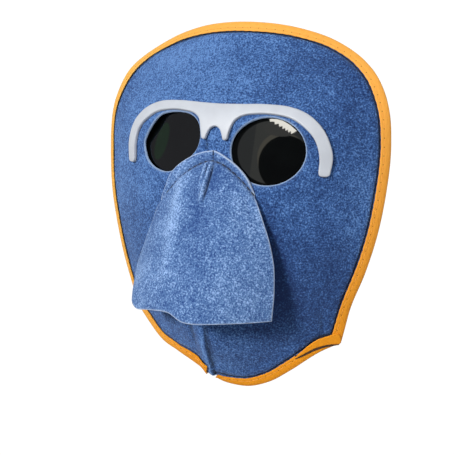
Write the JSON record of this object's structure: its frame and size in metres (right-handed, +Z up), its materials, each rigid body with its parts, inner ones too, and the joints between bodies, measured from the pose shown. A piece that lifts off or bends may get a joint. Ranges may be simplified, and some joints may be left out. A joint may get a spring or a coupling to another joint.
{
  "type": "leather welding face mask",
  "caption": "Suede face mask for welding with round dark lenses under a pale brow bar, a hanging nose flap, a taped edge and a head band.",
  "frame": {"origin": "where the mask sits on the head: on the middle plane, at the height of the bridge of the nose and the depth of the back edge of the eye cups", "axes": "+Z up, the mask looks along -Y, the head is on the +Y side, +X is on the right of someone who looks at the mask's front"},
  "size_m": [0.2382, 0.2567, 0.2713],
  "materials": {
    "panel_suede": "blue split suede with a short mottled nap",
    "flap_suede": "paler blue split suede",
    "edge_tape": "woven orange tape, folded and sewn",
    "bar_plastic": "pale grey moulded plastic, satin",
    "frame_plastic": "black moulded plastic",
    "lens_glass": "polished dark green welding glass",
    "band_webbing": "black woven elastic"
  },
  "bodies": {
    "root": {"face_panel": "panel_suede", "nose_flap": "flap_suede", "edge_binding": "edge_tape", "chin_binding": "edge_tape", "brow_bar": "bar_plastic", "eye_frame": "frame_plastic", "lens_left": "lens_glass", "lens_right": "lens_glass", "head_strap": "band_webbing"}
  },
  "joints": []
}
